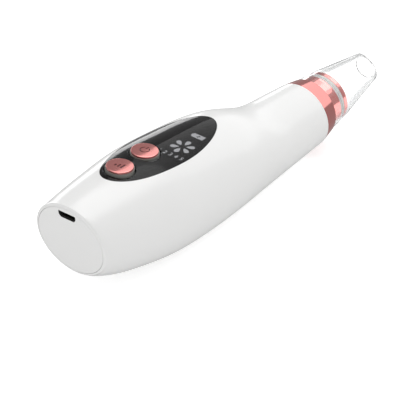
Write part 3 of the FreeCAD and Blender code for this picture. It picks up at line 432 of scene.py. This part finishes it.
def barrelSpline():
    sections = barrel["sections"]
    knots = [0.0]
    for (x0, z0, *_), (x1, z1, *_) in zip(sections, sections[1:]):
        knots.append(knots[-1] + Vector((x1 - x0, z1 - z0)).length)
    lines = [naturalSpline(knots, [section[i] for section in sections]) for i in range(4)]
    return knots[-1], lines


barrelLength, barrelLines = barrelSpline()


def ringAt(share, grow=0):  # one round section, at a share of the barrel's length
    along, up, radius, lean = [line(share * barrelLength) for line in barrelLines]
    return along, up, radius + grow, lean


def endRing(share, depth, radius):  # a ring parallel to an end, a depth inside it
    along, up, _, lean = ringAt(share)
    inward = 1 if share < 0.5 else -1
    return (along + inward * depth * cos(radians(lean)),
            up + inward * depth * sin(radians(lean)), radius, lean)


def ringTube(name, rings):  # extrude one ring through all the others
    leastTurn = 1e-6  # degrees
    x, z, radius, lean = rings[0]
    origin = Vector(barrel["origin"]) * mm
    deselect()
    bpy.ops.mesh.primitive_circle_add(vertices=barrel["sides"], radius=radius * mm,
                                      location=origin + Vector((x, 0, z)) * mm,
                                      rotation=(0, radians(90 - lean), 0))
    piece = named(name)
    settle(piece)
    edit(piece)
    for nextX, nextZ, nextRadius, nextLean in rings[1:]:
        step = Vector((nextX - x, 0, nextZ - z)) * mm
        middle = origin + Vector((nextX, 0, nextZ)) * mm
        bpy.ops.mesh.extrude_region_move(TRANSFORM_OT_translate={"value": step})
        grow = nextRadius / radius
        bpy.ops.transform.resize(value=(grow, grow, grow), center_override=middle)
        turn = nextLean - lean
        if abs(turn) > leastTurn:
            bpy.ops.transform.rotate(value=radians(turn), orient_axis="Y",
                                     center_override=middle)
        x, z, radius, lean = nextX, nextZ, nextRadius, nextLean
    bpy.ops.object.mode_set(mode="OBJECT")
    return piece


def makeBarrel():
    count = barrel["rings"]
    wall, soft, ease = barrel["wall"], barrel["round"], barrel["capEase"]
    outer = [ringAt(step / count) for step in range(count + 1)]
    edge = outer[0][2] - soft
    heel = [endRing(0, barrel["skirtDepth"], barrel["skirtSeat"]),
            endRing(0, barrel["capDepth"], barrel["skirtSeat"]),
            endRing(0, barrel["capDepth"], barrel["capSeat"]),
            endRing(0, ease, barrel["capSeat"]), endRing(0, 0, barrel["capSeat"] + ease)]
    for step in range(barrel["roundSteps"] + 1):
        turn = radians(90 / barrel["roundSteps"] * step)
        inward = 1 - cos(turn)
        heel.append(endRing(0, soft * inward,
                            edge + soft * sin(turn) + barrel["roundFlare"] * inward))
    plug = [endRing(1, 0, outer[-1][2]), endRing(1, 0, barrel["plugSeat"]),
            endRing(1, barrel["plugDepth"], barrel["plugSeat"])]
    inner = [(x, z, radius - wall, lean) for x, z, radius, lean in outer[3:-3]]
    rings = heel + outer[1:-1] + plug + inner[::-1]
    piece = ringTube("barrelShell", rings + [heel[0]])
    tidyMesh(piece)
    cutWith(piece, column("windowHole", windowMiddle(), windowRadii(barrel["windowGap"]),
                          barrel["windowCut"]))
    smooth(piece)
    dress(piece, "white_shell", "handle")
    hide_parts("body_shell")
    print("barrel:", len(piece.data.polygons), "faces")


def windowMiddle():
    middle = (windowLow + windowHigh) / 2
    return Vector((middle.x, 0, windowHigh.z))


def windowRadii(grow=0):
    return ((windowHigh.x - windowLow.x) / 2 / mm + grow,
            (windowHigh.y - windowLow.y) / 2 / mm + grow)


makeBarrel()


window = {
    "proud": 0.06, "thick": 1.1, "bevel": 0.22, "buttonHole": 6.1, "holeSides": 96,
    "rings": 60,  # of the barrel's skin, which the pane follows
    "gridX": 96, "gridY": 44, "spare": 2, "above": 20,  # the grid that is laid on the skin
    "outlineCut": 40, "holeCut": 20,  # heights of the cutting tools
}


def buttonSpot(name):  # the middle of a button's top
    low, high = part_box(name + "_button_cap")
    return Vector(((low.x + high.x) / 2, 0, high.z))


buttonSpots = {name: buttonSpot(name) for name in ("mode", "power")}


def makeWindow():
    count = window["rings"]
    skin = ringTube("windowSkin", [ringAt(step / count, window["proud"])
                                   for step in range(count + 1)])
    length, width = windowRadii(window["spare"])
    deselect()
    bpy.ops.mesh.primitive_grid_add(
        x_subdivisions=window["gridX"], y_subdivisions=window["gridY"], size=2,
        location=windowMiddle() + Vector((0, 0, window["above"] * mm)))
    pane = named("windowPane")
    pane.scale = (length * mm, width * mm, 1)
    settle(pane)
    addModifier(pane, "SHRINKWRAP", target=skin, wrap_method="PROJECT", use_project_z=True,
                use_negative_direction=True, use_positive_direction=False)
    bpy.data.objects.remove(skin)
    addModifier(pane, "SOLIDIFY", thickness=window["thick"] * mm, offset=-1)
    outline = column("paneOutline", windowMiddle(), windowRadii(), window["outlineCut"])
    cutWith(pane, outline, "INTERSECT")
    for spot in buttonSpots.values():
        hole = (window["buttonHole"], window["buttonHole"])
        cutWith(pane, column("buttonHole", spot, hole, window["holeCut"], window["holeSides"]))
    addModifier(pane, "BEVEL", width=window["bevel"] * mm, segments=3, limit_method="ANGLE",
                angle_limit=sharpAngle)
    smooth(pane, angle=40)
    dress(pane, "smoked_window", "handle")
    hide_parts("display_window")
    print("window:", len(pane.data.polygons), "faces")


makeWindow()

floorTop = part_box("display_mask")[1].z
icons = {
    "lift": 0.06, "thick": 0.25,
    "digits": "12345", "digitSize": 2.9, "digitPitch": 2.55,
    "petals": 6, "petalTip": 1.35, "petalEnd": 4.7, "petalWidth": 2.6,
    "petalSides": 32, "petalTaper": 1.1,
    "chargeWide": 5.2, "chargeDeep": 2.5, "nub": 0.45,
    "bolt": [(0.15, -1.0), (0.9, 0.1), (0.15, 0.1), (-0.15, 1.0), (-0.9, -0.1), (-0.15, -0.1)],
    "boltLift": 0.1,
    "switchOpening": 6.3, "floorBevel": 0.08,  # of the black plate under the icons
}


def middleOf(node):
    low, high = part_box(node)
    return Vector(((low.x + high.x) / 2, (low.y + high.y) / 2, floorTop))


def flatShape(name, outline, place):  # a thin plate from a flat outline in millimetres
    deselect()
    bpy.ops.mesh.primitive_circle_add(vertices=len(outline), radius=mm, fill_type="NGON")
    piece = named(name)
    for corner, (x, y) in zip(piece.data.vertices, outline):
        corner.co = (x * mm, y * mm, 0)
    edit(piece, "FACE")
    bpy.ops.mesh.extrude_region_move(
        TRANSFORM_OT_translate={"value": (0, 0, icons["thick"] * mm)})
    bpy.ops.object.mode_set(mode="OBJECT")
    piece.location = place + Vector((0, 0, (icons["lift"] - icons["thick"]) * mm))
    settle(piece)
    tidyMesh(piece)
    return piece


def makePetals():
    tip, end, half = icons["petalTip"], icons["petalEnd"], icons["petalWidth"] / 2
    outline = []
    for step in range(icons["petalSides"]):  # a teardrop, sharp towards the ring's middle
        turn = 2 * pi * step / icons["petalSides"]
        along = (1 - cos(turn)) / 2
        across = sin(turn) * sin(turn / 2) ** icons["petalTaper"]
        outline.append((tip + (end - tip) * along, half * across))
    middle = middleOf("light_guide_petals")
    petals = []
    for step in range(icons["petals"]):
        turn = 2 * pi * step / icons["petals"]
        turned = [(x * cos(turn) - y * sin(turn), x * sin(turn) + y * cos(turn))
                  for x, y in outline]
        petals.append(flatShape("petal%d" % step, turned, middle))
    piece = joinPieces("petalIcons", petals)
    dress(piece, "light_guide", "handle")
    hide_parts("light_guide_petals")


def makeBatterySign():
    wide, deep, nub = icons["chargeWide"] / 2, icons["chargeDeep"] / 2, icons["nub"]
    outline = [(-deep, -wide), (deep, -wide), (deep, wide), (deep / 2, wide),
               (deep / 2, wide + nub), (-deep / 2, wide + nub), (-deep / 2, wide), (-deep, wide)]
    middle = middleOf("light_guide_battery")
    middle.y = 0
    piece = flatShape("batteryIcon", outline, middle)
    lifted = middle + Vector((0, 0, icons["boltLift"] * mm))
    cutWith(piece, flatShape("boltTool", icons["bolt"], lifted))
    dress(piece, "light_guide", "handle")
    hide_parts("light_guide_battery")


def makeDigits():
    middle = middleOf("light_guide_levels")
    half = icons["thick"] / 2
    centre = (len(icons["digits"]) - 1) / 2
    digits = []
    for index, letter in enumerate(icons["digits"]):
        deselect()
        bpy.ops.object.text_add(rotation=(0, 0, radians(-90)))
        text = bpy.context.object
        text.data.body = letter
        text.data.align_x = "CENTER"
        text.data.align_y = "CENTER"
        text.data.size = icons["digitSize"] * mm
        text.data.extrude = half * mm
        shift = (centre - index) * icons["digitPitch"] * mm
        text.location = middle + Vector((0, shift, (icons["lift"] - half) * mm))
        bpy.ops.object.convert(target="MESH")
        digits.append(bpy.context.object)
    piece = joinPieces("levelDigits", digits)
    settle(piece)
    tidyMesh(piece)
    dress(piece, "light_guide", "handle")
    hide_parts("light_guide_levels")


def makeDisplayFloor():  # the black plate that the icons shine through
    low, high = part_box("display_mask")
    middle = (low + high) / 2
    radii = ((high.x - low.x) / 2 / mm, (high.y - low.y) / 2 / mm)
    piece = column("displayFloor", middle, radii, (high.z - low.z) / mm)
    for spot in buttonSpots.values():
        deselect()
        bpy.ops.mesh.primitive_cube_add(size=icons["switchOpening"] * mm,
                                        location=(spot.x, 0, middle.z))
        cutWith(piece, named("switchOpening"))
    addModifier(piece, "BEVEL", width=icons["floorBevel"] * mm, segments=2,
                limit_method="ANGLE", angle_limit=sharpAngle)
    smooth(piece)
    dress(piece, "black_plastic", "handle")
    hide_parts("display_mask")


makePetals()
makeBatterySign()
makeDigits()
makeDisplayFloor()
print("display: floor and icons")


button = {
    "radius": 5.2, "thick": 1.0, "sides": 96,
    "crown": 0.16, "crownSteps": 8, "edge": 0.3, "foot": 0.08, "drop": 0.02,
    "groove": 0.18, "paintDeep": 0.05, "paintHigh": 0.03,  # under and over the groove's floor
    "ring": (1.55, 2.0), "ringSides": 64, "gap": 1.7, "gapReach": 1.6,
    "powerBar": (1.55, 0, 1.7, 0.46),
    "modeBars": [(-0.9, 1.4, 1.2, 0.7), (-0.45, 0, 2.1, 0.7), (0, -1.4, 3.0, 0.7)],
    "cutOver": 1,  # how far a cutting tool stands past what it cuts
}


def barTool(bar, low, high):  # bar: place along and across, length and width
    x, y, length, width = bar
    deselect()
    bpy.ops.mesh.primitive_cube_add(size=1)
    piece = named("barTool")
    piece.scale = (length * mm, width * mm, (high - low) * mm)
    piece.location = (x * mm, y * mm, (high + low) / 2 * mm)
    settle(piece)
    return piece


def signTools(name, spot, low, high):  # the cuts for a sign, or the paint that lies in them
    if name == "power":
        inner, outer = button["ring"]
        ring = lathe("ringTool", [(inner, low), (outer, low), (outer, high), (inner, high)],
                     sides=button["ringSides"])
        gapBar = (outer, 0, outer * button["gapReach"], button["gap"])
        cutWith(ring, barTool(gapBar, low - button["cutOver"], high + button["cutOver"]))
        tools = [ring, barTool(button["powerBar"], low, high)]
    else:
        tools = [barTool(bar, low, high) for bar in button["modeBars"]]
    for tool in tools:
        tool.location = spot
        settle(tool)
    return tools


def makeButton(name):
    spot = buttonSpots[name]
    radius, thick, crown = button["radius"], button["thick"], button["crown"]
    steps = button["crownSteps"]
    rise = [(radius * step / steps, thick - crown * (step / steps) ** 2)
            for step in range(steps - 1)]
    profile = [(0, 0), (radius, 0, button["foot"]),
               (radius, thick - crown - button["drop"], button["edge"])]
    face = lathe(name + "ButtonFace", profile + rise[::-1], closed=False, sides=button["sides"])
    face.location = spot - Vector((0, 0, thick * mm))
    settle(face)
    floor = -button["groove"] - crown / 3  # a little deeper, as the crown falls from its middle
    for tool in signTools(name, spot, floor, button["cutOver"]):
        cutWith(face, tool)
    smooth(face, angle=28)
    dress(face, "rose_gold", name + "_button")
    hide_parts(name + "_button_cap")
    paint = joinPieces(name + "SignPaint", signTools(name, spot, floor - button["paintDeep"],
                                                     floor + button["paintHigh"]))
    dress(paint, "sign_paint", name + "_button")


for name in buttonSpots:
    makeButton(name)
print("buttons:", len(buttonSpots))


endCap = {
    "radius": 14.96, "thick": 2.0, "bevel": 0.3,
    "skirt": (12.8, 13.8), "depth": 4.2, "skirtRound": 0.2,
    "slot": [(3.95, 1.45), (3.95, -0.28), (3.05, -1.45)],  # half of the port: across and up
    "slotRound": 0.35, "slotDrop": 1.3, "slotCut": 14, "slotBefore": 5,
    "lining": 1.9, "liningWall": 0.14, "liningBack": 0.03,
}
nose = {
    "start": (51.179, 0, 17.394),  # where the white barrel ends
    "collar": [(1.0, -12), (1.5, -12, 0.2), (1.5, -4), (11.2, -4, 0.2), (11.2, 0), (13.4, 0, 0.1),
               (12.0, 6.8, 0.12), (9.6, 6.8, 0.1), (9.6, 12.3, 0.12), (8.3, 12.3), (8.3, 14.9),
               (9.6, 14.9, 0.12), (9.6, 17.0, 0.35), (7.7, 17.0, 0.15), (7.7, 4.5), (1.0, 4.5)],
    "seal": [(8.3, 0), (9.57, 0, 0.3), (9.57, 2.6, 0.3), (8.3, 2.6)], "sealAt": 12.3,
    "tip": [(9.66, 6.86, 0.15), (11.6, 6.86, 0.2), (11.25, 12.3, 0.35), (10.85, 12.75, 0.3),
            (10.5, 17.9, 0.8), (6.35, 40.9, 0.3), (6.1, 42.5, 0.9), (4.5, 42.5, 0.6),
            (4.5, 41.6, 0.3), (5.5, 40.4, 0.6), (9.66, 17.7, 0.8)],
}


def portOutline():  # right half, then its mirror image
    corners = endCap["slot"]
    return corners + [(-across, up) for across, up in reversed(corners)]


def slotBlock(name, length):  # the port's outline, drawn out along the barrel
    outline = portOutline()
    deselect()
    bpy.ops.mesh.primitive_circle_add(vertices=len(outline), radius=mm, fill_type="NGON")
    piece = named(name)
    for corner, (across, up) in zip(piece.data.vertices, outline):
        corner.co = (0, across * mm, up * mm)
    edit(piece)
    bpy.ops.mesh.bevel(offset=endCap["slotRound"] * mm, segments=4, affect="VERTICES")
    bpy.ops.mesh.select_all(action="SELECT")
    bpy.ops.mesh.extrude_region_move(TRANSFORM_OT_translate={"value": (length * mm, 0, 0)})
    bpy.ops.object.mode_set(mode="OBJECT")
    tidyMesh(piece)
    return piece


def makeLining(height, lean):  # the thin black sleeve that shows inside the port
    piece = slotBlock("portLining", endCap["lining"])
    edit(piece, "FACE")
    bpy.ops.mesh.select_all(action="DESELECT")
    bpy.ops.object.mode_set(mode="OBJECT")
    for face in piece.data.polygons:
        face.select = abs(face.normal.x) > 0.9  # its two ends
    bpy.ops.object.mode_set(mode="EDIT")
    bpy.ops.mesh.delete(type="FACE")
    bpy.ops.object.mode_set(mode="OBJECT")
    for corner in piece.data.vertices:  # its front edge follows the leaning face
        corner.co.x -= corner.co.z * tan(lean)
    addModifier(piece, "SOLIDIFY", thickness=endCap["liningWall"] * mm, offset=-1)
    x, _, z = barrel["origin"]
    front = (x + endCap["liningBack"]) * mm - (height - z * mm) * tan(lean)
    piece.location = (front, 0, height)
    settle(piece)
    smooth(piece)
    dress(piece, "black_plastic", "handle")


def makeEndCap():
    inner, outer = endCap["skirt"]
    radius, thick, depth = endCap["radius"], endCap["thick"], endCap["depth"]
    soft = endCap["skirtRound"]
    piece = lathe("capDisc", [(0, 0), (radius, 0, endCap["bevel"]), (radius, thick),
                              (outer, thick), (outer, depth, soft), (inner, depth, soft),
                              (inner, thick), (0, thick)], closed=False)
    lean = radians(barrel["sections"][0][3])
    placeAlong(piece, Vector(barrel["origin"]) * mm, Vector((cos(lean), 0, sin(lean))))
    low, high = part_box("usb_shell")
    tool = slotBlock("slotTool", endCap["slotCut"])
    slotHeight = high.z - endCap["slotDrop"] * mm
    tool.location = (low.x - endCap["slotBefore"] * mm, 0, slotHeight)
    settle(tool)
    cutWith(piece, tool)
    makeLining(slotHeight, lean)
    smooth(piece)
    dress(piece, "white_shell", "handle")
    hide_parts("end_cap")
    print("end cap and its port")


def makeNose():
    start = Vector(nose["start"]) * mm
    collar = lathe("noseCollar", nose["collar"])
    placeAlong(collar, start, noseWay)
    smooth(collar)
    dress(collar, "rose_gold", "handle")
    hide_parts("nozzle_collar")
    seal = lathe("spigotSeal", nose["seal"])
    placeAlong(seal, start + noseWay * nose["sealAt"] * mm, noseWay)
    smooth(seal)
    dress(seal, "white_silicone", "handle")
    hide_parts("nozzle_seal")
    tip = lathe("clearHead", nose["tip"])
    placeAlong(tip, start, noseWay)
    smooth(tip, angle=45)
    tip.visible_shadow = False  # clear plastic lets the light through to the seal
    dress(tip, "clear_head", "suction_head")
    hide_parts("suction_tip")
    print("nose: collar, seal and clear head")


makeEndCap()
makeNose()


room = {
    "floorSize": 6, "floorColour": (0.8, 0.8, 0.8), "floorRough": 0.9,
    "floorGlow": 0.2, "floorLift": 0.32,  # the lift is seen, but lights nothing
    "world": 0.76, "behindGlass": 0.5,
    "wall": 0.35, "wallTop": 0.66, "overhead": 0.95, "overheadFrom": 0.78,  # for reflections
}
lamps = {  # direction (turn from +X, height), distance, size across and up, brightness
    "frontBox": {"turn": -1, "height": 40, "away": 0.8, "size": (0.95, 1.0), "bright": 0.8},
    "rimStrip": {"turn": 66, "height": 1, "away": 0.8, "size": (0.8, 0.2), "bright": 2.0},
    "heelBox": {"turn": 186, "height": 14, "away": 0.8, "size": (0.5, 0.4), "bright": 0.4},
    "topBox": {"turn": 10, "height": 74, "away": 0.9, "size": (0.9, 0.7), "bright": 0.8},
}
lampAim = 25  # how high above the origin the lamps point, in millimetres
view = {"aim": (-55.876, -32.2, 40.963), "turn": 306.0, "height": 31.44, "roll": 3.2,
        "away": 1.8264, "lens": 450, "sensor": 36, "reach": 20}


def directionOf(turn, height):
    turn, height = radians(turn), radians(height)
    return Vector((cos(height) * cos(turn), cos(height) * sin(turn), sin(height)))


def makeRoom():
    deselect()
    bpy.ops.mesh.primitive_plane_add(size=room["floorSize"], location=(0, 0, cadBox[0][2]))
    floor = named("studioFloor")
    material = bpy.data.materials.new("floorPaint")
    material.use_nodes = True
    nodes, links = material.node_tree.nodes, material.node_tree.links
    shader = nodes["Principled BSDF"]
    shader.inputs["Base Color"].default_value = (*room["floorColour"], 1)
    shader.inputs["Roughness"].default_value = room["floorRough"]
    shader.inputs["Specular IOR Level"].default_value = 0
    shader.inputs["Emission Color"].default_value = (1, 1, 1, 1)
    path = nodes.new("ShaderNodeLightPath")  # the floor looks paler than the light it sends up
    lift = nodes.new("ShaderNodeMapRange")
    lift.inputs["To Min"].default_value = room["floorGlow"]
    lift.inputs["To Max"].default_value = room["floorGlow"] + room["floorLift"]
    shine = nodes.new("ShaderNodeMath")
    shine.operation = "MAXIMUM"
    links.new(path.outputs["Is Camera Ray"], shine.inputs[0])
    links.new(path.outputs["Is Transmission Ray"], shine.inputs[1])
    links.new(shine.outputs[0], lift.inputs["Value"])
    links.new(lift.outputs["Result"], shader.inputs["Emission Strength"])
    floor.data.materials.append(material)
    floor.visible_glossy = False


def makeWorld():
    world = bpy.data.worlds.new("studioWorld")
    bpy.context.scene.world = world
    world.use_nodes = True
    nodes, links = world.node_tree.nodes, world.node_tree.links
    soft = nodes["Background"]
    soft.inputs["Color"].default_value = (1, 1, 1, 1)
    seen = nodes.new("ShaderNodeBackground")  # what shiny pieces reflect
    place = nodes.new("ShaderNodeTexCoord")
    split = nodes.new("ShaderNodeSeparateXYZ")
    ramp = nodes.new("ShaderNodeValToRGB")
    links.new(place.outputs["Generated"], split.inputs["Vector"])
    links.new(split.outputs["Z"], ramp.inputs["Fac"])
    low, high = ramp.color_ramp.elements
    low.position, high.position = room["wallTop"], room["overheadFrom"]
    low.color = (room["wall"],) * 3 + (1,)
    high.color = (room["overhead"],) * 3 + (1,)
    links.new(ramp.outputs["Color"], seen.inputs["Color"])
    path = nodes.new("ShaderNodeLightPath")
    outside = nodes.new("ShaderNodeMath")  # light that has been through glass sees the soft room
    outside.operation = "LESS_THAN"
    outside.inputs[1].default_value = 0.5  # between a depth of 0 and 1
    links.new(path.outputs["Transmission Depth"], outside.inputs[0])
    both = nodes.new("ShaderNodeMath")
    both.operation = "MULTIPLY"
    links.new(path.outputs["Is Glossy Ray"], both.inputs[0])
    links.new(outside.outputs[0], both.inputs[1])
    dimmer = nodes.new("ShaderNodeMapRange")  # shiny pieces behind clear plastic look deeper
    dimmer.inputs["To Min"].default_value = room["world"]
    dimmer.inputs["To Max"].default_value = room["behindGlass"]
    links.new(path.outputs["Is Glossy Ray"], dimmer.inputs["Value"])
    links.new(dimmer.outputs["Result"], soft.inputs["Strength"])
    mix = nodes.new("ShaderNodeMixShader")
    links.new(both.outputs[0], mix.inputs[0])
    links.new(soft.outputs["Background"], mix.inputs[1])
    links.new(seen.outputs["Background"], mix.inputs[2])
    links.new(mix.outputs["Shader"], nodes["World Output"].inputs["Surface"])


def makeLamps():
    target = Vector((0, 0, lampAim * mm))
    for name, lamp in lamps.items():
        way = directionOf(lamp["turn"], lamp["height"])
        across, up = lamp["size"]
        deselect()
        bpy.ops.object.light_add(type="AREA", location=target + way * lamp["away"],
                                 rotation=way.to_track_quat("Z", "Y").to_euler())
        light = named(name)
        light.data.shape = "RECTANGLE"
        light.data.size = across
        light.data.size_y = up
        light.data.energy = lamp["bright"] * pi * across * up
        light.visible_camera = False


def makeCamera():
    back = directionOf(view["turn"] - 90, view["height"])
    deselect()
    bpy.ops.object.camera_add(location=Vector(view["aim"]) * mm + back * view["away"],
                              rotation=back.to_track_quat("Z", "Y").to_euler())
    camera = named("studioCamera")
    camera.rotation_euler.rotate_axis("Z", radians(view["roll"]))
    camera.data.lens = view["lens"]
    camera.data.sensor_width = view["sensor"]
    camera.data.clip_end = view["reach"]
    bpy.context.scene.camera = camera
    bpy.context.scene.view_settings.view_transform = "Standard"


makeRoom()
makeWorld()
makeLamps()
makeCamera()
print("room, lamps and camera")
